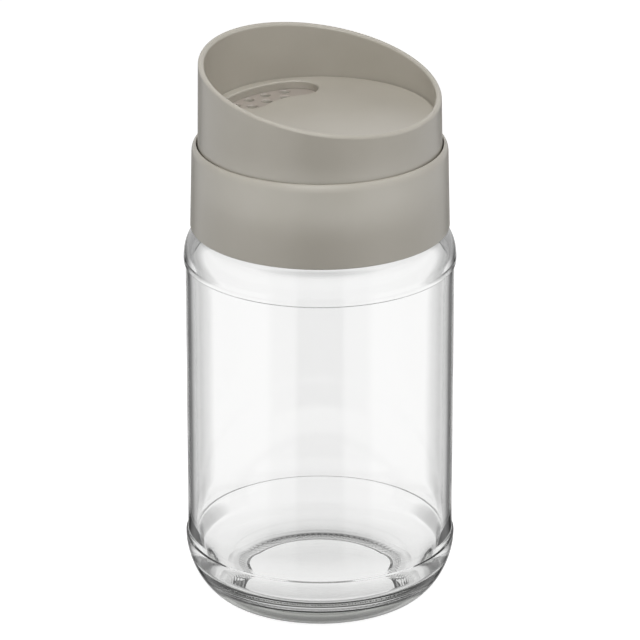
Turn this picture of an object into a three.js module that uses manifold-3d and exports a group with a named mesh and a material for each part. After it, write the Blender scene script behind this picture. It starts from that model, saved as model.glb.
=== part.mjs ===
// Spice jar: a clear glass jar, a screw-on plastic collar with a sifter deck, a soft seal ring
// between them, and a turning dial with a slanting rim and one curved slot.
//
// Millimetres. +Z is up, the jar's axis is the Z axis and its standing ring rests on Z = 0.
// +X is to the right and +Y to the back. The dial's rim is lowest at the front right, and its slot
// lies at the back left.

import * as THREE from 'three';
import { mergeVertices } from 'three/addons/utils/BufferGeometryUtils.js';
import Module from 'manifold-3d';

const wasm = await Module();
wasm.setup();

// Facets
const facetsAround = 64;
const facetsPerHole = 12;
const facetsPerSlotArc = 10;
const stepsPerCurve = 7;
const stepsPerRound = 3;

// One overrun serves every cut, so that no cut ends flush with a face
const cutOverrun = 3;

// Clearances between the pieces
const restGap = 0.3;
const turningGap = 0.3;

// Glass jar, outside
const beadRadius = 35.33;
const panelRecess = 0.5;
const heelToPanel = 1.6;
const panelHeight = 75.3;
const panelStepHeight = 0.9;
const heelHeight = 14.6;
const heelRoundnessShare = 1.68;
const standingRingRadius = 26.1;
const standingRingWidth = 6.8;
const pushUpHeight = 0.5;
const pushUpSlopeWidth = 0.8;
const shoulderBeadHeight = 1.7;
const shoulderHeight = 7.6;
const neckRadius = 30.3;
const neckHeight = 12.6;

// Glass jar, wall thicknesses and inside
const glassWall = 2.1;
const neckWall = 2.4;
const baseThickness = 5.3;
const innerFloorRadius = 22;
const innerFloorRise = 0.3;
const innerHeelHeight = 5.7;

// Seal ring, which lies on the glass mouth
const sealThickness = 1;
const sealInset = 0.3;

// Screw collar, the lower tier of the lid
const threadSpace = 1.5;
const collarWall = 1.7;
const collarDraft = 0.5;
const collarToShoulder = 0.65;
const collarEdgeWidth = 1.3;
const collarEdgeHeight = 2.2;
const ceilingThickness = 1.6;
const grooveDepth = 7.2;
const drumWall = 1.6;
const drumHeight = 12.79;
const deckThickness = 1.6;

// Snap bead that keeps the dial on the collar's drum
const snapBeadDepth = 0.45;
const snapBeadHeight = 1;

// Dial, the upper tier of the lid
const dialDraft = 0.25;
const dialWall = 1.6;
const dialFloorThickness = 1.9;
const dialSkirtGap = 1;
const dialCupDepth = 9.61;
const rimTilt = THREE.MathUtils.degToRad(11.45);
const rimHighDirection = THREE.MathUtils.degToRad(137);

// Curved slot in the dial's floor, an arc with round ends
const slotToDrumWall = 0.7;
const slotHalfWidth = 5.7;
const slotStart = THREE.MathUtils.degToRad(107);
const slotEnd = THREE.MathUtils.degToRad(153);

// Sprinkle holes in the deck, in rows on arcs under the slot
const sprinkleHoleRadius = 1.5;
const sprinkleHoleSpacing = 5.67;
const sprinkleRowCounts = [4, 3, 2];
const sprinkleRowInset = 1.7;
const sprinkleRowSpacing = 4;
const sprinkleDirection = THREE.MathUtils.degToRad(131);

// Pour opening in the deck, of the slot's outline a third of a turn further on
const pourTurn = THREE.MathUtils.degToRad(-120);
const pourInset = 0.7;

// Heights that follow, from the foot up
const panelBottom = heelHeight + heelToPanel;
const panelTop = panelBottom + panelHeight;
const shoulderStart = panelTop + shoulderBeadHeight;
const neckBottom = shoulderStart + shoulderHeight;
const mouthHeight = neckBottom + neckHeight;
const collarBottom = neckBottom + collarToShoulder;
const sealBottom = mouthHeight + restGap;
const ceilingBottom = sealBottom + sealThickness + restGap;
const ceilingTop = ceilingBottom + ceilingThickness;
const collarTop = ceilingTop + grooveDepth;
const deckTop = ceilingTop + drumHeight;
const deckBottom = deckTop - deckThickness;
const dialSkirtBottom = ceilingTop + dialSkirtGap;
const dialFloorBottom = deckTop + restGap;
const dialFloorHeight = dialFloorBottom + dialFloorThickness;
const rimMiddleHeight = dialFloorHeight + dialCupDepth;

// Radii that follow, from the glass to the dial and back in
const panelRadius = beadRadius - panelRecess;
const jarInnerRadius = panelRadius - glassWall;
const boreRadius = neckRadius - neckWall;
const skirtInnerRadius = neckRadius + threadSpace;
const collarBottomRadius = skirtInnerRadius + collarWall;
const collarTopRadius = collarBottomRadius - collarDraft;
const grooveRadius = collarTopRadius - collarEdgeWidth;
const dialRadius = grooveRadius - turningGap;
const dialInnerRadius = dialRadius - dialWall;
const drumRadius = dialInnerRadius - turningGap - snapBeadDepth;
const drumInnerRadius = drumRadius - drumWall;
const slotOuterRadius = drumInnerRadius - slotToDrumWall;
const slotMiddleRadius = slotOuterRadius - slotHalfWidth;
const outerRowRadius = slotOuterRadius - sprinkleRowInset;

// Points of an arc of an ellipse about (centreR, centreZ), from one angle to another. A roundness
// share of 2 gives the true ellipse, less gives a flatter curve between the same ends.
function arcPoints(centreR, centreZ, widthR, heightZ, from, to, steps, roundnessShare = 2) {
  const points = [];
  for (let i = 0; i <= steps; i += 1) {
    const angle = from + (to - from) * i / steps;
    const across = Math.sign(Math.cos(angle)) * Math.abs(Math.cos(angle)) ** (2 / roundnessShare);
    const up = Math.sign(Math.sin(angle)) * Math.abs(Math.sin(angle)) ** (2 / roundnessShare);
    points.push([centreR + widthR * across, centreZ + heightZ * up]);
  }
  return points;
}

const quarter = Math.PI / 2;

// Revolves a closed profile of [radius, height] points about the Z axis. The profile runs
// anticlockwise, with the radius to the right.
function revolve(profile) {
  const points = profile.map(([radius, height]) => new THREE.Vector2(radius, height));
  const geometry = new THREE.LatheGeometry(points, facetsAround);
  geometry.rotateX(quarter);
  return geometry;
}

// A geometry's closed surface as a solid that can be joined and cut
function solidOf(geometry) {
  const bare = geometry.clone();
  bare.deleteAttribute('normal');
  bare.deleteAttribute('uv');
  const merged = mergeVertices(bare);
  return new wasm.Manifold(new wasm.Mesh({
    numProp: 3,
    vertProperties: new Float32Array(merged.attributes.position.array),
    triVerts: new Uint32Array(merged.index.array),
  }));
}

function geometryOf(solid) {
  const { vertProperties, triVerts } = solid.getMesh();
  const geometry = new THREE.BufferGeometry();
  geometry.setAttribute('position', new THREE.BufferAttribute(vertProperties, 3));
  geometry.setIndex(new THREE.BufferAttribute(triVerts, 1));
  geometry.computeVertexNormals();
  return geometry;
}

// Outline of an arc with round ends about the Z axis, drawn in on all sides by an inset
function curvedSlotShape(inset) {
  const half = slotHalfWidth - inset;
  const shape = new THREE.Shape();
  const capCentre = (angle) => [slotMiddleRadius * Math.cos(angle), slotMiddleRadius * Math.sin(angle)];
  shape.absarc(0, 0, slotMiddleRadius + half, slotStart, slotEnd, false);
  shape.absarc(...capCentre(slotEnd), half, slotEnd, slotEnd + Math.PI, false);
  shape.absarc(0, 0, slotMiddleRadius - half, slotEnd, slotStart, true);
  shape.absarc(...capCentre(slotStart), half, slotStart + Math.PI, slotStart + 2 * Math.PI, false);
  return shape;
}

// A cutter of that outline through a plate that lies between two heights
function curvedSlotCutter(inset, bottom, top) {
  const geometry = new THREE.ExtrudeGeometry(curvedSlotShape(inset), {
    depth: top - bottom + 2 * cutOverrun,
    bevelEnabled: false,
    curveSegments: facetsPerSlotArc,
  });
  geometry.translate(0, 0, bottom - cutOverrun);
  return geometry;
}

// A cutter for one round hole through the deck
function sprinkleHoleCutter(rowRadius, direction) {
  const geometry = new THREE.CylinderGeometry(
    sprinkleHoleRadius,
    sprinkleHoleRadius,
    deckThickness + 2 * restGap,
    facetsPerHole,
  );
  geometry.rotateX(quarter);
  geometry.translate(
    rowRadius * Math.cos(direction),
    rowRadius * Math.sin(direction),
    (deckTop + deckBottom) / 2,
  );
  return geometry;
}

// Glass jar: push-up, standing ring, round heel, label panel between two beads, shoulder and neck,
// then down the inside to the thick base
function makeGlassJar() {
  const standingRingInner = standingRingRadius - standingRingWidth;
  const lip = neckWall / 3;
  const innerShoulderHeight = shoulderHeight - glassWall;
  return revolve([
    [0, pushUpHeight],
    [standingRingInner - pushUpSlopeWidth, pushUpHeight],
    [standingRingInner, 0],
    ...arcPoints(standingRingRadius, heelHeight, beadRadius - standingRingRadius, heelHeight,
      -quarter, 0, stepsPerCurve, heelRoundnessShare),
    [beadRadius, panelBottom - panelStepHeight],
    [panelRadius, panelBottom],
    [panelRadius, panelTop],
    [beadRadius, panelTop + panelStepHeight],
    ...arcPoints(neckRadius, shoulderStart, beadRadius - neckRadius, shoulderHeight,
      0, quarter, stepsPerCurve),
    ...arcPoints(neckRadius - lip, mouthHeight - lip, lip, lip, 0, quarter, stepsPerRound),
    ...arcPoints(boreRadius + lip, mouthHeight - lip, lip, lip, quarter, Math.PI, stepsPerRound),
    ...arcPoints(boreRadius, shoulderStart, jarInnerRadius - boreRadius, innerShoulderHeight,
      quarter, 0, stepsPerCurve),
    ...arcPoints(innerFloorRadius, baseThickness + innerHeelHeight,
      jarInnerRadius - innerFloorRadius, innerHeelHeight, 0, -quarter, stepsPerCurve),
    [innerFloorRadius / 2, baseThickness + innerFloorRise * 3 / 4],
    [0, baseThickness + innerFloorRise],
  ]);
}

// Seal ring: a flat soft ring between the glass mouth and the collar's ceiling
function makeSealRing() {
  const inner = boreRadius + sealInset;
  const outer = neckRadius - sealInset;
  return revolve([
    [inner, sealBottom],
    [outer, sealBottom],
    [outer, sealBottom + sealThickness],
    [inner, sealBottom + sealThickness],
    [inner, sealBottom],
  ]);
}

// Screw collar: skirt, ring ceiling over the seal, and the drum that carries the sifter deck
function makeScrewCollar() {
  const drumEdge = drumWall / 4;
  const deckEdge = drumWall / 2;
  const beadTop = (dialSkirtBottom + deckTop) / 2;
  const blank = revolve([
    [0, deckBottom],
    [drumInnerRadius, deckBottom],
    [drumInnerRadius, ceilingBottom],
    [skirtInnerRadius, ceilingBottom],
    [skirtInnerRadius, collarBottom],
    [collarBottomRadius, collarBottom],
    ...arcPoints(grooveRadius, collarTop - collarEdgeHeight, collarTopRadius - grooveRadius,
      collarEdgeHeight, 0, quarter, stepsPerCurve),
    [grooveRadius, ceilingTop],
    [drumRadius + drumEdge, ceilingTop],
    [drumRadius, ceilingTop + drumEdge],
    [drumRadius, beadTop - snapBeadHeight],
    [drumRadius + snapBeadDepth, beadTop - snapBeadHeight / 2],
    [drumRadius, beadTop + snapBeadHeight / 2],
    [drumRadius, deckTop - deckEdge],
    [drumRadius - deckEdge, deckTop],
    [0, deckTop],
  ]);
  let collar = solidOf(blank);
  sprinkleRowCounts.forEach((count, row) => {
    const rowRadius = outerRowRadius - row * sprinkleRowSpacing;
    const pitch = sprinkleHoleSpacing / rowRadius;
    for (let i = 0; i < count; i += 1) {
      const direction = sprinkleDirection + (i - (count - 1) / 2) * pitch;
      collar = collar.subtract(solidOf(sprinkleHoleCutter(rowRadius, direction)));
    }
  });
  const pourCutter = curvedSlotCutter(pourInset, deckBottom, deckTop);
  pourCutter.rotateZ(pourTurn);
  return geometryOf(collar.subtract(solidOf(pourCutter)));
}

// Lifts the dial's rim into a slanting plane, highest towards one direction
function slantRim(geometry, rimStart) {
  const position = geometry.attributes.position;
  for (let i = 0; i < position.count; i += 1) {
    if (position.getZ(i) > rimStart) {
      const towardsHigh = position.getX(i) * Math.cos(rimHighDirection)
        + position.getY(i) * Math.sin(rimHighDirection);
      position.setZ(i, position.getZ(i) + towardsHigh * Math.tan(rimTilt));
    }
  }
}

// Dial: a cup with a slanting rounded rim, a flat floor with the curved slot, and a skirt whose
// inner bead snaps under the drum's bead
function makeDial() {
  const lip = dialWall / 2;
  const rimOuter = dialRadius - dialDraft;
  const lipCentre = rimOuter - lip;
  const floorRound = dialWall / 2;
  const beadCentre = (dialSkirtBottom + deckTop) / 2 - snapBeadHeight - turningGap * 2;
  const cup = revolve([
    [0, dialFloorBottom],
    [dialInnerRadius, dialFloorBottom],
    [dialInnerRadius, beadCentre],
    [dialInnerRadius - snapBeadDepth, beadCentre - snapBeadHeight / 2],
    [dialInnerRadius, beadCentre - snapBeadHeight],
    [dialInnerRadius, dialSkirtBottom],
    [dialRadius, dialSkirtBottom],
    [dialRadius, collarTop],
    [rimOuter, rimMiddleHeight - lip],
    ...arcPoints(lipCentre, rimMiddleHeight - lip, lip, lip, 0, Math.PI, 2 * stepsPerRound),
    ...arcPoints(dialInnerRadius - dialDraft - floorRound, dialFloorHeight + floorRound,
      floorRound, floorRound, 0, -quarter, stepsPerRound),
    [0, dialFloorHeight],
  ]);
  slantRim(cup, rimMiddleHeight - dialWall);
  const slot = curvedSlotCutter(0, dialFloorBottom, dialFloorHeight);
  return geometryOf(solidOf(cup).subtract(solidOf(slot)));
}

function addPiece(group, name, geometry, color, roughness) {
  const material = new THREE.MeshStandardMaterial({ color, roughness, metalness: 0 });
  const mesh = new THREE.Mesh(geometry, material);
  mesh.name = name;
  group.add(mesh);
  return mesh;
}

const spiceJar = new THREE.Group();
const glass = addPiece(spiceJar, 'glass_jar', makeGlassJar(), 0xe9efec, 0.03);
glass.material.transparent = true;
glass.material.opacity = 0.35;
addPiece(spiceJar, 'screw_collar', makeScrewCollar(), 0xaaa598, 0.42);
addPiece(spiceJar, 'seal_ring', makeSealRing(), 0xe4e2dc, 0.7);
addPiece(spiceJar, 'dial', makeDial(), 0xaaa598, 0.42);

export default spiceJar;
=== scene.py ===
import math

import bpy
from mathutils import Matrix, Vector


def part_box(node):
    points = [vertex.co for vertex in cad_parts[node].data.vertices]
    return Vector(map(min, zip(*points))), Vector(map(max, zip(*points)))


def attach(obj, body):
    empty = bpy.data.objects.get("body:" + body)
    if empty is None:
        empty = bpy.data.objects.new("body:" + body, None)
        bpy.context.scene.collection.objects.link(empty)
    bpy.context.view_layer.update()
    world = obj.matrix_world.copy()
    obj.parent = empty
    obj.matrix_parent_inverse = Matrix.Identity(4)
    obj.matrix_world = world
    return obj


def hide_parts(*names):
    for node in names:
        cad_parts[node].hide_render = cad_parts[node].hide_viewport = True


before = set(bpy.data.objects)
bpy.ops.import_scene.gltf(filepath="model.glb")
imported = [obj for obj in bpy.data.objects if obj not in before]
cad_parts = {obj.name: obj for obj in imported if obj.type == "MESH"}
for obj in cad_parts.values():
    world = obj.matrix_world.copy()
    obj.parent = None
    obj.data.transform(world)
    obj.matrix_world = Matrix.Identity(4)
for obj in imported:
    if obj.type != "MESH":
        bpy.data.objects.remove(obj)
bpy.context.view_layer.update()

# Shapes are written in millimetres and become metres when a mesh is made.
# Lamps and the camera are written in metres.
MM = 0.001
TURN = 2 * math.pi
HALF_TURN = TURN / 2
QUARTER = TURN / 4
SMOOTH_ANGLE = math.radians(32)

# Steps round the axis and along curves
SEGMENTS = 288
JAR_SEGMENTS = 576
HOLE_SEGMENTS = 32
SHADE_SEGMENTS = 96
CURVE_STEPS = 20
ROUND_STEPS = 8
EDGE_STEPS = 4
DECK_EDGE_STEPS = 6
SLOT_ARC_STEPS = 40
SLOT_END_STEPS = 24

# Rows of points along straight stretches
SHORT_ROWS = 2
SLOPE_ROWS = 3
FLAT_ROWS = 6
FLOOR_ROWS = 8
WALL_ROWS = 12
STIPPLE_ROWS = 16
LUG_ROWS = 44
RIDGE_ROWS = 110


def box_mm(node):
    """Lowest and highest corner of a CAD node, in millimetres."""
    low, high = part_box(node)
    return Vector(low) / MM, Vector(high) / MM


jar_low, jar_high = box_mm("glass_jar")
seal_low, seal_high = box_mm("seal_ring")
collar_low, collar_high = box_mm("screw_collar")
dial_low, dial_high = box_mm("dial")

# Glass jar
BEAD_RADIUS = jar_high.x
STANDING_HEIGHT = jar_low.z
MOUTH_HEIGHT = jar_high.z
HEEL_HEIGHT = 14.6
HEEL_ROUNDNESS = 1.68
RING_RADIUS = 26.1
RING_EDGE = 0.1
PUSH_UP_HEIGHT = 0.5
PUSH_UP_SLOPE_WIDTH = 0.8
HEEL_TO_PANEL = 1.6
PANEL_RECESS = 0.5
PANEL_HEIGHT = 75.3
SHOULDER_BEAD_HEIGHT = 1.7
SHOULDER_HEIGHT = 7.6
SHOULDER_ARC_SHARE = 0.97
NECK_RADIUS = 30.3
NECK_FOOT_HEIGHT = 0.4
NECK_WALL = 2.4
GLASS_WALL = 2.1
BASE_THICKNESS = 5.3
INNER_FLOOR_RADIUS = 22.0
INNER_FLOOR_RISE = 0.3
INNER_HEEL_HEIGHT = 5.7
PANEL_RADIUS = BEAD_RADIUS - PANEL_RECESS
PANEL_BOTTOM = HEEL_HEIGHT + HEEL_TO_PANEL
PANEL_TOP = PANEL_BOTTOM + PANEL_HEIGHT
SHOULDER_START = PANEL_TOP + SHOULDER_BEAD_HEIGHT
NECK_BOTTOM = SHOULDER_START + SHOULDER_HEIGHT
MOUTH_ROUND = NECK_WALL / 3
BORE_RADIUS = NECK_RADIUS - NECK_WALL
JAR_INNER_RADIUS = PANEL_RADIUS - GLASS_WALL

# Steps at both ends of the label panel. Each flank is drawn shorter than in the solid,
# so that the glass shows it as one fine line. The panel's wall runs up to the top of the upper
# flank and folds back to the flank's foot, which makes that line darker.
STEP_HEIGHT = 0.9
STEP_INSET = 0.3
STEP_ROUND_SHARE = 0.2
WALL_TOP = PANEL_TOP + STEP_HEIGHT - STEP_INSET

# Dots on the standing ring. Their rows wander by waves: depth, waves round the ring, shift across it.
STIPPLE_START = 19.9
STIPPLE_WIDTH = 2.6
STIPPLE_COUNT = 92
STIPPLE_PITCH = 1.3
STIPPLE_DEPTH = 0.42
STIPPLE_REACH_SHARE = 0.55
STIPPLE_WANDER = [(0.9, 7, 0.0), (0.7, 17, 1.3)]
STIPPLE_END = STIPPLE_START + STIPPLE_WIDTH
STIPPLE_MIDDLE = STIPPLE_START + STIPPLE_WIDTH / 2
STIPPLE_REACH = STIPPLE_WIDTH * STIPPLE_REACH_SHARE

# Thread: short helical ridges on the neck, lugs inside the collar
THREAD_STARTS = 4
THREAD_LEAD = 14.0
THREAD_STEEPNESS = 1.6
ON_WALL_TOLERANCE = 0.01
RIDGE_HEIGHT = 0.9
RIDGE_WIDTH = 1.7
RIDGE_SPAN = math.radians(76)
RIDGE_TAPER = math.radians(12)
RIDGE_TO_MOUTH = 6.2
PLAIN_NECK_HEIGHT = 1.0
LUG_DEPTH = 0.95
LUG_WIDTH = 1.3
LUG_SPAN = math.radians(26)
LUG_TAPER = math.radians(5)
LUG_DROP = 1.75
PLAIN_SKIRT_HEIGHT = 0.5
RIDGE_MIDDLE = MOUTH_HEIGHT - RIDGE_TO_MOUTH
LUG_MIDDLE = RIDGE_MIDDLE - LUG_DROP

# Seal ring
SEAL_INSET = 0.3
SEAL_ROUND = 0.22

# Screw collar
WALL_GAP = 0.3
EDGE_ROUND = 0.35
COLLAR_WALL = 1.7
COLLAR_DRAFT = 0.5
COLLAR_EDGE_WIDTH = 1.3
COLLAR_EDGE_HEIGHT = 2.2
GROOVE_DEPTH = 7.2
GROOVE_CHAMFER_WIDTH = 0.15
GROOVE_CHAMFER_HEIGHT = 0.2
CEILING_THICKNESS = 1.6
DECK_THICKNESS = 1.6
DECK_ROUND = 2 * EDGE_ROUND
COLLAR_BOTTOM = collar_low.z
DECK_TOP = collar_high.z
DECK_BOTTOM = DECK_TOP - DECK_THICKNESS
CEILING_BOTTOM = seal_high.z + WALL_GAP
CEILING_TOP = CEILING_BOTTOM + CEILING_THICKNESS
COLLAR_TOP = CEILING_TOP + GROOVE_DEPTH
COLLAR_BOTTOM_RADIUS = collar_high.x
COLLAR_TOP_RADIUS = COLLAR_BOTTOM_RADIUS - COLLAR_DRAFT
SKIRT_INNER_RADIUS = COLLAR_BOTTOM_RADIUS - COLLAR_WALL
GROOVE_RADIUS = COLLAR_TOP_RADIUS - COLLAR_EDGE_WIDTH

# Dial. Its floor lies closer to the deck than the solid's, so that no dark line shows in the slot.
DIAL_WALL = 1.6
DIAL_DRAFT = 0.25
DIAL_FLOOR_THICKNESS = 1.9
DIAL_FLOOR_CLEARANCE = 0.06
DIAL_CUP_DEPTH = 9.58
FOOT_GROOVE_WIDTH = 0.55
FOOT_GROOVE_DEPTH = 0.45
FOOT_GROOVE_REACH_SHARE = 1.2
RIM_TILT = math.radians(11.45)
RIM_HIGH_DIRECTION = math.radians(137)
DIAL_RADIUS = dial_high.x
DIAL_INNER_RADIUS = DIAL_RADIUS - DIAL_WALL
DIAL_BOTTOM = dial_low.z
DIAL_FLOOR_BOTTOM = DECK_TOP + DIAL_FLOOR_CLEARANCE
DIAL_FLOOR_TOP = DECK_TOP + WALL_GAP + DIAL_FLOOR_THICKNESS
RIM_MIDDLE = DIAL_FLOOR_TOP + DIAL_CUP_DEPTH

# Drum of the collar, with the snap bead that holds the dial
SNAP_DEPTH = 0.45
SNAP_HEIGHT = 1.0
DRUM_WALL = 1.6
DRUM_RADIUS = DIAL_INNER_RADIUS - WALL_GAP - SNAP_DEPTH
DRUM_INNER_RADIUS = DRUM_RADIUS - DRUM_WALL
SNAP_MIDDLE = (DIAL_BOTTOM + DECK_TOP) / 2
DIAL_SNAP_MIDDLE = SNAP_MIDDLE - 1.5 * SNAP_HEIGHT - 2 * WALL_GAP

# Slot, sprinkle holes and pour opening
CUT_OVERRUN = 1.0
SLOT_TO_DRUM_WALL = 0.7
SLOT_HALF_WIDTH = 5.7
SLOT_START = math.radians(107)
SLOT_END = math.radians(153)
SLOT_LIP = 0.5
HOLE_RADIUS = 1.3
HOLE_FLARE = 0.45
HOLE_FLARE_ANGLES = [0.5, 1.0, QUARTER]
HOLE_SPACING = 5.67
HOLE_DIRECTION = math.radians(131)
HOLE_ROW_COUNTS = [4, 3, 2]
HOLE_ROW_INSET = 1.75
HOLE_ROW_SPACING = 4.0
POUR_TURN = math.radians(-120)
POUR_INSET = 0.7
SLOT_OUTER_RADIUS = DRUM_INNER_RADIUS - SLOT_TO_DRUM_WALL
SLOT_MIDDLE_RADIUS = SLOT_OUTER_RADIUS - SLOT_HALF_WIDTH
OUTER_ROW_RADIUS = SLOT_OUTER_RADIUS - HOLE_ROW_INSET


# Points of outlines


def arc(centre_r, centre_z, width, height, start, end, steps, roundness=2.0):
    """Points of an ellipse, or of a flatter superellipse where roundness is under 2."""
    points = []
    for i in range(steps + 1):
        angle = start + (end - start) * i / steps
        across = math.copysign(abs(math.cos(angle)) ** (2 / roundness), math.cos(angle))
        up = math.copysign(abs(math.sin(angle)) ** (2 / roundness), math.sin(angle))
        points.append((centre_r + width * across, centre_z + height * up))
    return points


def line(start, end, steps):
    """Evenly spaced points between two profile points, without the first."""
    points = []
    for i in range(1, steps + 1):
        r = start[0] + (end[0] - start[0]) * i / steps
        z = start[1] + (end[1] - start[1]) * i / steps
        points.append((r, z))
    return points


def polar(radius, angle):
    return radius * math.cos(angle), radius * math.sin(angle)


def level_arc(centre, radius, first, last, steps):
    """Points of an arc in a level plane, without its last."""
    points = []
    for i in range(steps):
        x, y = polar(radius, first + (last - first) * i / steps)
        points.append((centre[0] + x, centre[1] + y))
    return points


# Meshes


def make_object(name, verts, faces):
    """A mesh object from points in millimetres."""
    mesh = bpy.data.meshes.new(name)
    mesh.from_pydata([Vector(v) * MM for v in verts], [], faces)
    mesh.validate()
    obj = bpy.data.objects.new(name, mesh)
    bpy.context.scene.collection.objects.link(obj)
    finish_shading(obj)
    return obj


def finish_shading(obj):
    """Smooth shading that keeps edges sharp where faces meet at a clear angle."""
    for polygon in obj.data.polygons:
        polygon.use_smooth = True
    obj.data.set_sharp_from_angle(angle=SMOOTH_ANGLE)


def weight_normals(obj):
    """Large flat faces keep their own normals where a rounding meets them."""
    modifier = obj.modifiers.new("weighted", "WEIGHTED_NORMAL")
    modifier.keep_sharp = True


def faces_between(first, second, count):
    """Faces from one ring of points to the next. A ring of one point is the tip of a fan."""
    faces = []
    for i in range(count):
        j = (i + 1) % count
        if len(first) == 1:
            faces.append((first[0], second[j], second[i]))
        elif len(second) == 1:
            faces.append((first[i], first[j], second[0]))
        else:
            faces.append((first[i], first[j], second[j], second[i]))
    return faces


def revolve(name, profile, shape=None, closed=False, segments=SEGMENTS):
    """A surface of revolution about Z. shape(r, z, angle) may move each point."""
    verts = []
    rings = []
    for r, z in profile:
        start = len(verts)
        if r == 0:
            verts.append((0, 0, z))
        else:
            for i in range(segments):
                angle = TURN * i / segments
                point_r, point_z = shape(r, z, angle) if shape else (r, z)
                verts.append((*polar(point_r, angle), point_z))
        rings.append(range(start, len(verts)))
    pairs = list(zip(rings, rings[1:]))
    if closed:
        pairs.append((rings[-1], rings[0]))
    faces = []
    for first, second in pairs:
        faces += faces_between(first, second, segments)
    return make_object(name, verts, faces)


def cut(obj, cutters):
    """Takes the cutters out of a mesh and removes them from the scene."""
    for cutter in cutters:
        modifier = obj.modifiers.new("cut", "BOOLEAN")
        modifier.operation = "DIFFERENCE"
        modifier.solver = "EXACT"
        modifier.object = cutter
    graph = bpy.context.evaluated_depsgraph_get()
    mesh = bpy.data.meshes.new_from_object(obj.evaluated_get(graph))
    obj.modifiers.clear()
    obj.data = mesh
    for cutter in cutters:
        bpy.data.objects.remove(cutter, do_unlink=True)
    finish_shading(obj)


# Thread


def helix_bump(z, angle, middle, span, width, taper):
    """Height share of the nearest of the thread's starts at a point, with tapered ends."""
    pitch = TURN / THREAD_STARTS
    turn = (angle + pitch / 2) % pitch - pitch / 2
    past_straight = abs(turn) - (span / 2 - taper)
    end_share = 1
    if past_straight > 0:
        end_share = max(0, math.cos(min(past_straight / taper, 1) * QUARTER))
    height = middle + THREAD_LEAD * turn / TURN
    across_share = min(abs(z - height) / (width / 2), 1)
    return end_share * min(1, THREAD_STEEPNESS * math.cos(across_share * QUARTER))


# Glass jar


def eased(share):
    """0 to 1: straight in the middle and curved at both ends."""
    end = STEP_ROUND_SHARE
    if share < end:
        rise = share ** 2 / (2 * end)
    elif share > 1 - end:
        rise = 1 - end - (1 - share) ** 2 / (2 * end)
    else:
        rise = share - end / 2
    return rise / (1 - end)


def panel_step(low_z, low_r, high_z, high_r):
    """A small step between two radii: a straight flank that runs out in short curves."""
    low_z += STEP_INSET
    high_z -= STEP_INSET
    points = []
    for i in range(2 * ROUND_STEPS + 1):
        share = i / (2 * ROUND_STEPS)
        points.append((low_r + (high_r - low_r) * eased(share), low_z + (high_z - low_z) * share))
    return points


def jar_underside():
    """From the axis along the shallow push-up and the dotted standing ring."""
    points = [(0, PUSH_UP_HEIGHT)]
    points += line(points[-1], (STIPPLE_START - PUSH_UP_SLOPE_WIDTH, PUSH_UP_HEIGHT), FLAT_ROWS)
    points += line(points[-1], (STIPPLE_START, STANDING_HEIGHT), SLOPE_ROWS)
    points += line(points[-1], (STIPPLE_END, STANDING_HEIGHT), STIPPLE_ROWS)
    points += line(points[-1], (RING_RADIUS - RING_EDGE, STANDING_HEIGHT), SHORT_ROWS)
    return points


def jar_outside():
    """Round heel, label panel between its steps, shoulder and neck."""
    points = arc(RING_RADIUS, HEEL_HEIGHT, BEAD_RADIUS - RING_RADIUS, HEEL_HEIGHT,
                 -QUARTER, 0, 2 * CURVE_STEPS, HEEL_ROUNDNESS)
    points += panel_step(PANEL_BOTTOM - STEP_HEIGHT, BEAD_RADIUS, PANEL_BOTTOM, PANEL_RADIUS)
    points += line(points[-1], (PANEL_RADIUS, WALL_TOP), WALL_ROWS)
    points += panel_step(PANEL_TOP, PANEL_RADIUS, PANEL_TOP + STEP_HEIGHT, BEAD_RADIUS)
    points += arc(NECK_RADIUS, SHOULDER_START, BEAD_RADIUS - NECK_RADIUS, SHOULDER_HEIGHT,
                  0, QUARTER * SHOULDER_ARC_SHARE, CURVE_STEPS)
    points += line(points[-1], (NECK_RADIUS, NECK_BOTTOM + NECK_FOOT_HEIGHT), SHORT_ROWS)
    points += line(points[-1], (NECK_RADIUS, MOUTH_HEIGHT - MOUTH_ROUND), RIDGE_ROWS)
    return points


def jar_mouth():
    """The lip, rounded on the outside and on the inside."""
    height = MOUTH_HEIGHT - MOUTH_ROUND
    points = arc(NECK_RADIUS - MOUTH_ROUND, height, MOUTH_ROUND, MOUTH_ROUND,
                 0, QUARTER, ROUND_STEPS)[1:]
    points += arc(BORE_RADIUS + MOUTH_ROUND, height, MOUTH_ROUND, MOUTH_ROUND,
                  QUARTER, HALF_TURN, ROUND_STEPS)
    return points


def jar_inside():
    """Shoulder, wall and round inner heel, and a floor that rises a little to the axis."""
    points = arc(BORE_RADIUS, SHOULDER_START, JAR_INNER_RADIUS - BORE_RADIUS,
                 SHOULDER_HEIGHT - GLASS_WALL, QUARTER, 0, CURVE_STEPS)
    heel_top = BASE_THICKNESS + INNER_HEEL_HEIGHT
    points += line(points[-1], (JAR_INNER_RADIUS, heel_top), WALL_ROWS)
    points += arc(INNER_FLOOR_RADIUS, heel_top, JAR_INNER_RADIUS - INNER_FLOOR_RADIUS,
                  INNER_HEEL_HEIGHT, 0, -QUARTER, 2 * CURVE_STEPS)[1:]
    for i in range(1, FLOOR_ROWS + 1):
        share = 1 - i / FLOOR_ROWS
        rise = INNER_FLOOR_RISE * (1 - share ** 2)
        points.append((INNER_FLOOR_RADIUS * share, BASE_THICKNESS + rise))
    return points


def stipple_height(r, angle):
    """Height of the dots in the standing ring, which fade at both edges of their band."""
    from_middle = r - STIPPLE_MIDDLE
    wander = sum(depth * math.sin(waves * angle + shift * from_middle)
                 for depth, waves, shift in STIPPLE_WANDER)
    around = math.cos(STIPPLE_COUNT * angle + wander)
    across = math.cos(TURN * from_middle / STIPPLE_PITCH)
    fade = math.cos(min(abs(from_middle) / STIPPLE_REACH, 1) * QUARTER)
    return STIPPLE_DEPTH * (1 + around * across) / 2 * fade


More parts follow.
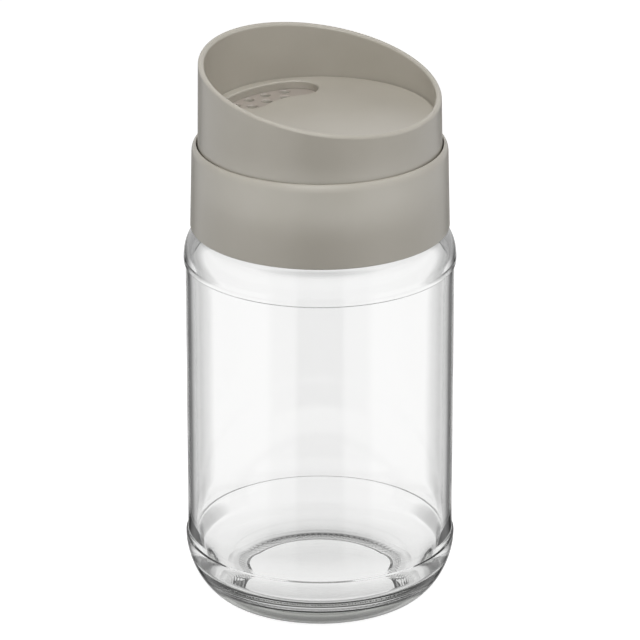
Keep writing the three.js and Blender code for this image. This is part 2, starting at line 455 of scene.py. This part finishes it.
def jar_detail(r, z, angle):
    """Dots on the standing ring and thread ridges on the neck."""
    if z < PUSH_UP_HEIGHT / 2 and abs(r - STIPPLE_MIDDLE) < STIPPLE_REACH:
        return r, z + stipple_height(r, angle)
    if r >= NECK_RADIUS - ON_WALL_TOLERANCE and NECK_BOTTOM < z < MOUTH_HEIGHT - PLAIN_NECK_HEIGHT:
        height = helix_bump(z, angle, RIDGE_MIDDLE, RIDGE_SPAN, RIDGE_WIDTH, RIDGE_TAPER)
        return r + RIDGE_HEIGHT * height, z
    return r, z


def make_jar():
    profile = jar_underside() + jar_outside() + jar_mouth() + jar_inside()
    return revolve("jar_glass", profile, jar_detail, segments=JAR_SEGMENTS)


# Seal ring


def make_seal():
    inner = BORE_RADIUS + SEAL_INSET + SEAL_ROUND
    outer = NECK_RADIUS - SEAL_INSET - SEAL_ROUND
    low = seal_low.z + SEAL_ROUND
    high = seal_high.z - SEAL_ROUND
    corners = [(outer, low, -QUARTER), (outer, high, 0), (inner, high, QUARTER), (inner, low, HALF_TURN)]
    points = []
    for r, z, start in corners:
        points += arc(r, z, SEAL_ROUND, SEAL_ROUND, start, start + QUARTER, EDGE_STEPS)
    return revolve("seal_soft_ring", points, closed=True)


# Curved slot and sprinkle holes


def slot_outline(half_width, turn):
    """An arc with round ends about the Z axis, anticlockwise."""
    start = SLOT_START + turn
    end = SLOT_END + turn
    start_centre = polar(SLOT_MIDDLE_RADIUS, start)
    end_centre = polar(SLOT_MIDDLE_RADIUS, end)
    axis = (0, 0)
    points = level_arc(axis, SLOT_MIDDLE_RADIUS + half_width, start, end, SLOT_ARC_STEPS)
    points += level_arc(end_centre, half_width, end, end + HALF_TURN, SLOT_END_STEPS)
    points += level_arc(axis, SLOT_MIDDLE_RADIUS - half_width, end, start, SLOT_ARC_STEPS)
    points += level_arc(start_centre, half_width, start + HALF_TURN, start + TURN, SLOT_END_STEPS)
    return points


def flare_rows(half_width, flare, top, angles):
    """Half widths and heights of a cutter that widens to its top, which rounds a hole's edge."""
    foot = top - flare
    return [(half_width + flare * (1 - math.cos(angle)), foot + flare * math.sin(angle)) for angle in angles]


def slot_cutter(name, inset, bottom, top, turn=0.0):
    """A cutter for a slot with a rounded upper edge, through a plate from bottom to top."""
    half_width = SLOT_HALF_WIDTH - inset
    angles = [QUARTER * i / ROUND_STEPS for i in range(1, ROUND_STEPS + 1)]
    rows = [(half_width, bottom - CUT_OVERRUN), (half_width, top - SLOT_LIP)]
    rows += flare_rows(half_width, SLOT_LIP, top, angles)
    rows += [(half_width + SLOT_LIP, top + CUT_OVERRUN)]
    verts = []
    rings = []
    for row_half_width, z in rows:
        start = len(verts)
        verts += [(x, y, z) for x, y in slot_outline(row_half_width, turn)]
        rings.append(range(start, len(verts)))
    faces = []
    for first, second in zip(rings, rings[1:]):
        faces += faces_between(first, second, len(first))
    faces += [tuple(reversed(rings[0])), tuple(rings[-1])]
    return make_object(name, verts, faces)


def hole_cutter(x, y):
    """A pin with a flared top, which leaves a softly rounded hole."""
    bottom = DECK_BOTTOM - CUT_OVERRUN
    top = DECK_TOP + CUT_OVERRUN
    profile = [(0, bottom), (HOLE_RADIUS, bottom), (HOLE_RADIUS, DECK_TOP - HOLE_FLARE)]
    profile += flare_rows(HOLE_RADIUS, HOLE_FLARE, DECK_TOP, HOLE_FLARE_ANGLES)
    profile += [(HOLE_RADIUS + HOLE_FLARE, top), (0, top)]
    pin = revolve("hole_cutter", profile, segments=HOLE_SEGMENTS)
    for vertex in pin.data.vertices:
        vertex.co += Vector((x, y, 0)) * MM
    return pin


def hole_places():
    """Centres of the sprinkle holes, in rows that get shorter towards the axis."""
    places = []
    for row, count in enumerate(HOLE_ROW_COUNTS):
        radius = OUTER_ROW_RADIUS - row * HOLE_ROW_SPACING
        pitch = HOLE_SPACING / radius
        for i in range(count):
            from_middle = i - (count - 1) / 2
            places.append(polar(radius, HOLE_DIRECTION + from_middle * pitch))
    return places


# Screw collar


def collar_inside():
    """Under the deck, down the drum, along the ceiling and down the skirt."""
    edge = EDGE_ROUND
    points = [(0, DECK_BOTTOM), (DRUM_INNER_RADIUS - edge, DECK_BOTTOM)]
    points += [(DRUM_INNER_RADIUS, DECK_BOTTOM - edge)]
    points += line(points[-1], (DRUM_INNER_RADIUS, CEILING_BOTTOM + edge), SHORT_ROWS)
    points += [(DRUM_INNER_RADIUS + edge, CEILING_BOTTOM), (SKIRT_INNER_RADIUS - edge, CEILING_BOTTOM)]
    points += [(SKIRT_INNER_RADIUS, CEILING_BOTTOM - edge)]
    points += line(points[-1], (SKIRT_INNER_RADIUS, COLLAR_BOTTOM + edge), LUG_ROWS)
    return points


def collar_skirt():
    """Round the skirt's foot and up to the rounded top edge."""
    edge = EDGE_ROUND
    foot = COLLAR_BOTTOM + edge
    edge_start = COLLAR_TOP - COLLAR_EDGE_HEIGHT
    edge_width = COLLAR_EDGE_WIDTH - GROOVE_CHAMFER_WIDTH
    points = arc(SKIRT_INNER_RADIUS + edge, foot, edge, edge, HALF_TURN, 3 * QUARTER, EDGE_STEPS)[1:]
    points += arc(COLLAR_BOTTOM_RADIUS - edge, foot, edge, edge, -QUARTER, 0, EDGE_STEPS)
    points += line(points[-1], (COLLAR_TOP_RADIUS, edge_start), FLAT_ROWS)
    points += arc(GROOVE_RADIUS + GROOVE_CHAMFER_WIDTH, edge_start, edge_width, COLLAR_EDGE_HEIGHT,
                  0, QUARTER, CURVE_STEPS)[1:]
    return points


def collar_drum():
    """Down into the groove, up the drum with its snap bead, and along the deck to the axis."""
    edge = EDGE_ROUND
    bead_half = SNAP_HEIGHT / 2
    points = [(GROOVE_RADIUS, COLLAR_TOP - GROOVE_CHAMFER_HEIGHT), (GROOVE_RADIUS, CEILING_TOP + edge)]
    points += [(GROOVE_RADIUS - edge, CEILING_TOP), (DRUM_RADIUS + edge, CEILING_TOP)]
    points += [(DRUM_RADIUS, CEILING_TOP + edge), (DRUM_RADIUS, SNAP_MIDDLE - bead_half)]
    points += arc(DRUM_RADIUS, SNAP_MIDDLE, SNAP_DEPTH, bead_half, -QUARTER, QUARTER, ROUND_STEPS)[1:]
    points += [(DRUM_RADIUS, DECK_TOP - DECK_ROUND)]
    points += arc(DRUM_RADIUS - DECK_ROUND, DECK_TOP - DECK_ROUND, DECK_ROUND, DECK_ROUND,
                  0, QUARTER, DECK_EDGE_STEPS)[1:]
    points += [(0, DECK_TOP)]
    return points


def collar_detail(r, z, angle):
    """Lugs inside the skirt that run under the neck's ridges."""
    low = COLLAR_BOTTOM + PLAIN_SKIRT_HEIGHT
    high = CEILING_BOTTOM - PLAIN_SKIRT_HEIGHT
    if abs(r - SKIRT_INNER_RADIUS) < ON_WALL_TOLERANCE and low < z < high:
        height = helix_bump(z, angle, LUG_MIDDLE, LUG_SPAN, LUG_WIDTH, LUG_TAPER)
        return r - LUG_DEPTH * height, z
    return r, z


def make_collar():
    collar = revolve("collar_shell", collar_inside() + collar_skirt() + collar_drum(), collar_detail)
    cutters = [hole_cutter(x, y) for x, y in hole_places()]
    cutters.append(slot_cutter("pour_cutter", POUR_INSET, DECK_BOTTOM, DECK_TOP, POUR_TURN))
    cut(collar, cutters)
    weight_normals(collar)
    return collar


# Dial


def dial_skirt():
    """Under the floor, down the skirt with its snap bead, and round the skirt's foot."""
    edge = EDGE_ROUND
    bead_half = SNAP_HEIGHT / 2
    points = [(0, DIAL_FLOOR_BOTTOM), (DIAL_INNER_RADIUS - edge, DIAL_FLOOR_BOTTOM)]
    points += [(DIAL_INNER_RADIUS, DIAL_FLOOR_BOTTOM - edge)]
    points += [(DIAL_INNER_RADIUS, DIAL_SNAP_MIDDLE + bead_half)]
    points += arc(DIAL_INNER_RADIUS, DIAL_SNAP_MIDDLE, -SNAP_DEPTH, bead_half,
                  QUARTER, -QUARTER, ROUND_STEPS)[1:]
    points += [(DIAL_INNER_RADIUS, DIAL_BOTTOM + edge), (DIAL_INNER_RADIUS + edge, DIAL_BOTTOM)]
    points += [(DIAL_RADIUS - edge, DIAL_BOTTOM), (DIAL_RADIUS, DIAL_BOTTOM + edge)]
    return points


def dial_cup():
    """Up the outside, over the round lip, down to the groove at the wall's foot and along the floor."""
    lip = DIAL_WALL / 2
    rim_radius = DIAL_RADIUS - DIAL_DRAFT
    wall_radius = rim_radius - DIAL_WALL
    groove_half = FOOT_GROOVE_WIDTH / 2
    points = [(DIAL_RADIUS, COLLAR_TOP), (rim_radius, RIM_MIDDLE - lip)]
    points += arc(rim_radius - lip, RIM_MIDDLE - lip, lip, lip, 0, HALF_TURN, 2 * ROUND_STEPS)[1:]
    points += arc(wall_radius - groove_half, DIAL_FLOOR_TOP, groove_half, FOOT_GROOVE_DEPTH,
                  0, -HALF_TURN, ROUND_STEPS)
    points += [(wall_radius - FOOT_GROOVE_REACH_SHARE * FOOT_GROOVE_WIDTH, DIAL_FLOOR_TOP)]
    points += [(0, DIAL_FLOOR_TOP)]
    return points


def dial_detail(r, z, angle):
    """Moves the rim into its slanting plane."""
    if z > RIM_MIDDLE - DIAL_WALL:
        return r, z + r * math.cos(angle - RIM_HIGH_DIRECTION) * math.tan(RIM_TILT)
    return r, z


def make_dial():
    dial = revolve("dial_cup", dial_skirt() + dial_cup(), dial_detail)
    cut(dial, [slot_cutter("slot_cutter", 0.0, DIAL_FLOOR_BOTTOM, DIAL_FLOOR_TOP)])
    weight_normals(dial)
    return dial


# Shader nodes

# Numbers of the Mix node's colour sockets
MIX_SHARE = 0
MIX_FIRST = 6
MIX_SECOND = 7
MIX_RESULT = 2


def linear(value):
    """A display value of 0 to 255 as the linear value that shaders take."""
    value /= 255
    return value / 12.92 if value <= 0.04045 else ((value + 0.055) / 1.055) ** 2.4


def srgb(red, green, blue):
    return linear(red), linear(green), linear(blue), 1.0


def grey(level):
    return level, level, level, 1.0


def new_material(name):
    material = bpy.data.materials.new(name)
    material.use_nodes = True
    tree = material.node_tree
    shader = next(n for n in tree.nodes if n.type == "BSDF_PRINCIPLED")
    return material, tree, shader


def material_output(tree):
    return next(n for n in tree.nodes if n.type == "OUTPUT_MATERIAL")


def object_coordinates(tree):
    return tree.nodes.new("ShaderNodeTexCoord").outputs["Object"]


def separate(tree, vector):
    node = tree.nodes.new("ShaderNodeSeparateXYZ")
    tree.links.new(vector, node.inputs[0])
    return node.outputs


def math_node(tree, operation, first, second=None):
    node = tree.nodes.new("ShaderNodeMath")
    node.operation = operation
    for socket, value in zip(node.inputs, (first, second)):
        if isinstance(value, (int, float)):
            socket.default_value = value
        elif value is not None:
            tree.links.new(value, socket)
    return node.outputs[0]


def mix_colours(tree, share, first, second):
    node = tree.nodes.new("ShaderNodeMix")
    node.data_type = "RGBA"
    for socket, value in ((MIX_SHARE, share), (MIX_FIRST, first), (MIX_SECOND, second)):
        if isinstance(value, tuple):
            node.inputs[socket].default_value = value
        else:
            tree.links.new(value, node.inputs[socket])
    return node.outputs[MIX_RESULT]


def noise(tree, coordinates, scale, detail):
    node = tree.nodes.new("ShaderNodeTexNoise")
    node.inputs["Scale"].default_value = scale
    node.inputs["Detail"].default_value = detail
    node.inputs["Roughness"].default_value = 0.55
    tree.links.new(coordinates, node.inputs["Vector"])
    return node.outputs["Fac"]


def ramp(tree, value, stops):
    """Colours by value, from a list of positions from 0 to 1 with a colour each."""
    node = tree.nodes.new("ShaderNodeValToRGB")
    elements = node.color_ramp.elements
    while len(elements) < len(stops):
        elements.new(0.5)
    for element, (position, colour) in zip(elements, stops):
        element.position = position
        element.color = colour
    tree.links.new(value, node.inputs["Fac"])
    return node.outputs["Color"]


def level_ramp(tree, value, stops):
    """Greys by value, from a list of positions from 0 to 1 with a level each."""
    return ramp(tree, value, [(position, grey(level)) for position, level in stops])


def noise_ramp(tree, value, low, high):
    """Two colours over the middle span that a noise covers."""
    return ramp(tree, value, [(0.3, low), (0.7, high)])


def add_bump(tree, shader, height, strength, distance):
    node = tree.nodes.new("ShaderNodeBump")
    node.inputs["Strength"].default_value = strength
    node.inputs["Distance"].default_value = distance
    tree.links.new(height, node.inputs["Height"])
    tree.links.new(node.outputs["Normal"], shader.inputs["Normal"])


# Materials

LIGHT_GREIGE = srgb(171, 166, 156)
DEEP_GREIGE = srgb(166, 161, 150)
# Painted shade: the top of the sifter deck, down to this depth, is coloured darker for the shade under the
# dial's floor
DECK_PAINTED_SHADE = srgb(157, 149, 141)
DECK_SHADE_DEPTH = 0.3
SEAL_LIGHT = srgb(226, 224, 217)
SEAL_DEEP = srgb(214, 212, 204)


def plastic_material(name, deck_shade=None):
    """Satin moulded plastic: fine spark-eroded grain, slow colour drift, patchy gloss; painted deck shade if
    given.
    """
    material, tree, shader = new_material(name)
    where = object_coordinates(tree)
    drift = noise(tree, where, scale=45.0, detail=3.0)
    grain = noise(tree, where, scale=2600.0, detail=2.0)
    cloud = noise(tree, where, scale=160.0, detail=2.0)
    tint = noise_ramp(tree, drift, DEEP_GREIGE, LIGHT_GREIGE)
    # Painted shade: the deck's top is coloured darker where the dial's floor shades it
    if deck_shade:
        height = separate(tree, where)["Z"]
        on_deck = math_node(tree, "GREATER_THAN", height, (DECK_TOP - DECK_SHADE_DEPTH) * MM)
        tint = mix_colours(tree, on_deck, tint, deck_shade)
    tree.links.new(tint, shader.inputs["Base Color"])
    tree.links.new(noise_ramp(tree, cloud, grey(0.285), grey(0.32)), shader.inputs["Roughness"])
    add_bump(tree, shader, grain, strength=0.12, distance=0.06 * MM)
    shader.inputs["IOR"].default_value = 1.55
    shader.inputs["Specular IOR Level"].default_value = 0.8
    return material


def seal_material():
    """Soft, slightly mottled silicone that lets a little light in."""
    material, tree, shader = new_material("seal_silicone")
    mottle = noise(tree, object_coordinates(tree), scale=300.0, detail=3.0)
    tree.links.new(noise_ramp(tree, mottle, SEAL_DEEP, SEAL_LIGHT), shader.inputs["Base Color"])
    tree.links.new(noise_ramp(tree, mottle, grey(0.5), grey(0.65)), shader.inputs["Roughness"])
    shader.inputs["Subsurface Weight"].default_value = 0.15
    shader.inputs["Subsurface Radius"].default_value = (2.0 * MM, 2.0 * MM, 1.8 * MM)
    return material


def glass_material():
    """Clear soda-lime glass with slight waviness and a faint green-grey depth."""
    material, tree, shader = new_material("jar_clear_glass")
    shader.inputs["Base Color"].default_value = grey(1.0)
    shader.inputs["Transmission Weight"].default_value = 1.0
    shader.inputs["IOR"].default_value = 1.5
    shader.inputs["Roughness"].default_value = 0.0
    wave = noise(tree, object_coordinates(tree), scale=28.0, detail=2.0)
    add_bump(tree, shader, wave, strength=0.25, distance=0.3 * MM)
    absorb = tree.nodes.new("ShaderNodeVolumeAbsorption")
    absorb.inputs["Color"].default_value = (0.56, 0.575, 0.54, 1.0)
    absorb.inputs["Density"].default_value = 22.0
    tree.links.new(absorb.outputs["Volume"], material_output(tree).inputs["Volume"])
    return material


# Floor, and the shade round the standing ring

FLOOR_HALF_WIDTH = 4000.0
FLOOR_LEVEL = 0.8
FLOOR_GLOW = 0.86
SHADE_HEIGHT = -0.05
SHADE_RADIUS = 38.0

# How clear the shade is, by radius, from under the push-up out past the dotted band and the heel
SHADE_CLEARNESS = [
    (0.0, 1.0), (19.8, 1.0), (20.1, 0.55), (22.5, 0.55), (22.9, 0.0), (23.8, 0.0),
    (24.5, 0.65), (29.0, 0.85), (SHADE_RADIUS, 1.0)]

# Level of the shade, from the sides, where Y is a small share of the radius, to the front and back
SHADE_LEVELS = [(0.6, 0.7), (0.86, 0.2)]


def ray_kind(tree, names):
    """1 for rays of any of the named kinds."""
    path = tree.nodes.new("ShaderNodeLightPath")
    value = path.outputs[names[0]]
    for name in names[1:]:
        value = math_node(tree, "MAXIMUM", value, path.outputs[name])
    return value


def floor_material():
    """White, with a glow for the camera only."""
    material, tree, shader = new_material("stage_white")
    shader.inputs["Base Color"].default_value = grey(FLOOR_LEVEL)
    shader.inputs["Roughness"].default_value = 1.0
    shader.inputs["Specular IOR Level"].default_value = 0.0
    shader.inputs["Emission Color"].default_value = grey(1.0)
    glow = math_node(tree, "MULTIPLY", ray_kind(tree, ["Is Camera Ray"]), FLOOR_GLOW)
    tree.links.new(glow, shader.inputs["Emission Strength"])
    return material


def make_floor():
    """A white floor that keeps a faint shadow and shows as white to the camera."""
    half = FLOOR_HALF_WIDTH
    corners = [(-half, -half, 0), (half, -half, 0), (half, half, 0), (-half, half, 0)]
    floor = make_object("stage_floor", corners, [(0, 1, 2, 3)])
    floor.data.materials.append(floor_material())
    floor.visible_glossy = False
    floor.visible_transmission = False


def shade_material():
    """Dim where little light gets under the glass, clear elsewhere."""
    material, tree, shader = new_material("stage_shade")
    where = object_coordinates(tree)
    length = tree.nodes.new("ShaderNodeVectorMath")
    length.operation = "LENGTH"
    tree.links.new(where, length.inputs[0])
    radius = length.outputs["Value"]
    radius_share = math_node(tree, "DIVIDE", radius, SHADE_RADIUS * MM)
    stops = [(stop_radius / SHADE_RADIUS, clearness) for stop_radius, clearness in SHADE_CLEARNESS]
    clear = level_ramp(tree, radius_share, stops)
    along = math_node(tree, "ABSOLUTE", separate(tree, where)["Y"])
    level = level_ramp(tree, math_node(tree, "DIVIDE", along, radius), SHADE_LEVELS)
    dim = tree.nodes.new("ShaderNodeEmission")
    tree.links.new(level, dim.inputs["Color"])
    empty = tree.nodes.new("ShaderNodeBsdfTransparent")
    mixed = tree.nodes.new("ShaderNodeMixShader")
    for socket, value in zip(mixed.inputs, (clear, dim.outputs[0], empty.outputs[0])):
        tree.links.new(value, socket)
    tree.links.new(mixed.outputs[0], material_output(tree).inputs["Surface"])
    tree.nodes.remove(shader)
    return material


def make_contact_shade():
    """The table close round the standing ring, which only the glass shows."""
    edge = level_arc((0, 0), SHADE_RADIUS, 0, TURN, SHADE_SEGMENTS)
    shade = make_object("stage_contact_shade", [(x, y, SHADE_HEIGHT) for x, y in edge],
                        [tuple(range(SHADE_SEGMENTS))])
    shade.data.materials.append(shade_material())
    shade.visible_camera = False
    shade.visible_diffuse = False
    shade.visible_glossy = False
    shade.visible_shadow = False


# World

# What surrounds the jar, by turn from the front in degrees: the dark camera side, the softboxes,
# the black cards beside the white background
SURROUND = [
    (0, 0.15), (19, 0.15), (23, 0.6), (44, 0.66), (48, 1.0), (105, 1.0), (134, 0.95), (140, 0.8),
    (146, 0.5), (151, 0.28), (154, 0.12), (160.5, 0.07), (163, 0.5), (168, 0.6),
    (171, 0.72), (173, 1.0), (180, 1.0)]

# Where the table takes over from the surroundings, by how far down a ray points, for rays that
# pass through glass and for mirrored ones
TABLE_THROUGH = [(0.44, 0.0), (0.5, 1.0)]
TABLE_THROUGH_LEVEL = 0.96
TABLE_MIRRORED = [(0.55, 0.0), (0.72, 1.0)]
TABLE_MIRRORED_LEVEL = 0.7

# Where the upper part of the studio takes over, and its levels, by how far up a ray points
UPPER_START = [(-0.25, 0.0), (-0.13, 1.0)]
UPPER_LEVELS = [(-0.13, 0.26), (0.374, 0.28), (0.44, 0.42), (0.514, 0.75)]
UPPER_MIRRORED_LEVEL = 0.85

# Light on matt surfaces
PLAIN_LEVEL = 0.1


def surround_level(tree, direction):
    """Level of the surroundings in a direction, the same to the left and to the right."""
    towards_front = math_node(tree, "MULTIPLY", direction["Y"], -1.0)
    turn = math_node(tree, "ARCTAN2", direction["X"], towards_front)
    turn_share = math_node(tree, "DIVIDE", math_node(tree, "ABSOLUTE", turn), math.pi)
    return level_ramp(tree, turn_share, [(degrees / 180, level) for degrees, level in SURROUND])


def height_ramp(tree, height, stops):
    """Levels by a height from -1 to 1, which is brought to the 0 to 1 that a ramp takes."""
    share = math_node(tree, "ADD", math_node(tree, "MULTIPLY", height, 0.5), 0.5)
    return level_ramp(tree, share, [((stop_height + 1) / 2, level) for stop_height, level in stops])


def make_world():
    """White for the camera, a plain level for matt surfaces, and the studio for glass and gloss."""
    world = bpy.data.worlds.new("studio")
    world.use_nodes = True
    bpy.context.scene.world = world
    tree = world.node_tree
    background = next(n for n in tree.nodes if n.type == "BACKGROUND")
    direction = separate(tree, tree.nodes.new("ShaderNodeTexCoord").outputs["Generated"])
    around = surround_level(tree, direction)
    fall = math_node(tree, "MULTIPLY", direction["Z"], -1.0)
    table_through = level_ramp(tree, fall, TABLE_THROUGH)
    table_mirrored = level_ramp(tree, fall, TABLE_MIRRORED)
    lower_through = mix_colours(tree, table_through, around, grey(TABLE_THROUGH_LEVEL))
    lower_mirrored = mix_colours(tree, table_mirrored, around, grey(TABLE_MIRRORED_LEVEL))
    upward = height_ramp(tree, direction["Z"], UPPER_START)
    above = height_ramp(tree, direction["Z"], UPPER_LEVELS)
    through = mix_colours(tree, upward, lower_through, above)
    mirrored = mix_colours(tree, upward, lower_mirrored, grey(UPPER_MIRRORED_LEVEL))
    studio = mix_colours(tree, ray_kind(tree, ["Is Transmission Ray"]), mirrored, through)
    plain = mix_colours(tree, ray_kind(tree, ["Is Camera Ray"]), grey(PLAIN_LEVEL), grey(1.0))
    in_studio = ray_kind(tree, ["Is Glossy Ray", "Is Transmission Ray"])
    tree.links.new(mix_colours(tree, in_studio, plain, studio), background.inputs["Color"])


# Lamps

# Name, place, width and depth, power
LAMP_TARGET = (0.0, 0.0, 0.12)
SOFT_LAMPS = [
    ("lamp_left", (-0.4, 0.0, 0.25), (0.15, 0.15), 0.41),
    ("lamp_right", (0.4, 0.0, 0.25), (0.15, 0.15), 0.41),
    ("lamp_top", (0.0, 0.0, 0.45), (0.2, 0.2), 0.5),
    ("lamp_front_top", (0.0, -0.28, 0.36), (0.2, 0.15), 0.8)]

# A round beam, made wide and flat by its scale
STRIP_PLACE = (0.0, -0.5, 0.1188)
STRIP_SCALE = (9.0, 1.0, 1.0)
STRIP_ANGLE = math.radians(2.2)
STRIP_SOFTNESS = 0.004
STRIP_POWER = 2.65
STRIP_COLOUR = (0.86, 0.92, 1.0)


def add_lamp(name, light, place):
    """A lamp that lights surfaces and is itself not seen, mirrored or refracted."""
    lamp = bpy.data.objects.new(name, light)
    bpy.context.scene.collection.objects.link(lamp)
    lamp.location = place
    lamp.visible_camera = False
    lamp.visible_glossy = False
    lamp.visible_transmission = False
    return lamp


def aim(thing, direction):
    """Turns a lamp or a camera to look along a direction."""
    thing.rotation_mode = "QUATERNION"
    thing.rotation_quaternion = direction.to_track_quat("-Z", "Y")


def make_soft_lamp(name, place, size, power):
    light = bpy.data.lights.new(name, "AREA")
    light.shape = "RECTANGLE"
    light.size, light.size_y = size
    light.energy = power
    lamp = add_lamp(name, light, place)
    aim(lamp, Vector(LAMP_TARGET) - Vector(place))


def make_strip_lamp():
    """A flat beam from the front that lights only the upper half of the collar."""
    light = bpy.data.lights.new("lamp_strip", "SPOT")
    light.spot_size = STRIP_ANGLE
    light.spot_blend = 1.0
    light.shadow_soft_size = STRIP_SOFTNESS
    light.energy = STRIP_POWER
    light.color = STRIP_COLOUR
    lamp = add_lamp("lamp_strip", light, STRIP_PLACE)
    lamp.rotation_euler = (QUARTER, 0, 0)
    lamp.scale = STRIP_SCALE


def make_lamps():
    for name, place, size, power in SOFT_LAMPS:
        make_soft_lamp(name, place, size, power)
    make_strip_lamp()


# Camera

CAMERA_DISTANCE = 1.25
CAMERA_ELEVATION = math.radians(21.7886)
CAMERA_TARGET = (0.0, 0.0, 0.07464)
CAMERA_LENS = 270.39
CAMERA_SENSOR = 36.0
CAMERA_CLIP = (0.05, 50.0)


def make_camera():
    """The photograph's view: a long lens, a little above the jar."""
    data = bpy.data.cameras.new("camera")
    data.sensor_width = CAMERA_SENSOR
    data.lens = CAMERA_LENS
    data.clip_start, data.clip_end = CAMERA_CLIP
    camera = bpy.data.objects.new("camera", data)
    bpy.context.scene.collection.objects.link(camera)
    back = Vector((0, -math.cos(CAMERA_ELEVATION), math.sin(CAMERA_ELEVATION)))
    camera.location = Vector(CAMERA_TARGET) + back * CAMERA_DISTANCE
    aim(camera, -back)
    bpy.context.scene.camera = camera


# Scene


def dress(piece, material, node, body):
    """Gives a piece its material and puts it in the place of a CAD node."""
    piece.data.materials.clear()
    piece.data.materials.append(material)
    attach(piece, body)
    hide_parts(node)


bpy.context.scene.view_settings.view_transform = "Standard"
make_camera()
make_world()
make_lamps()
make_floor()
make_contact_shade()

dress(make_jar(), glass_material(), "glass_jar", "jar")
dress(make_seal(), seal_material(), "seal_ring", "seal")
dress(make_collar(), plastic_material("collar_satin", DECK_PAINTED_SHADE),
      "screw_collar", "collar")
dress(make_dial(), plastic_material("dial_satin"), "dial", "dial")
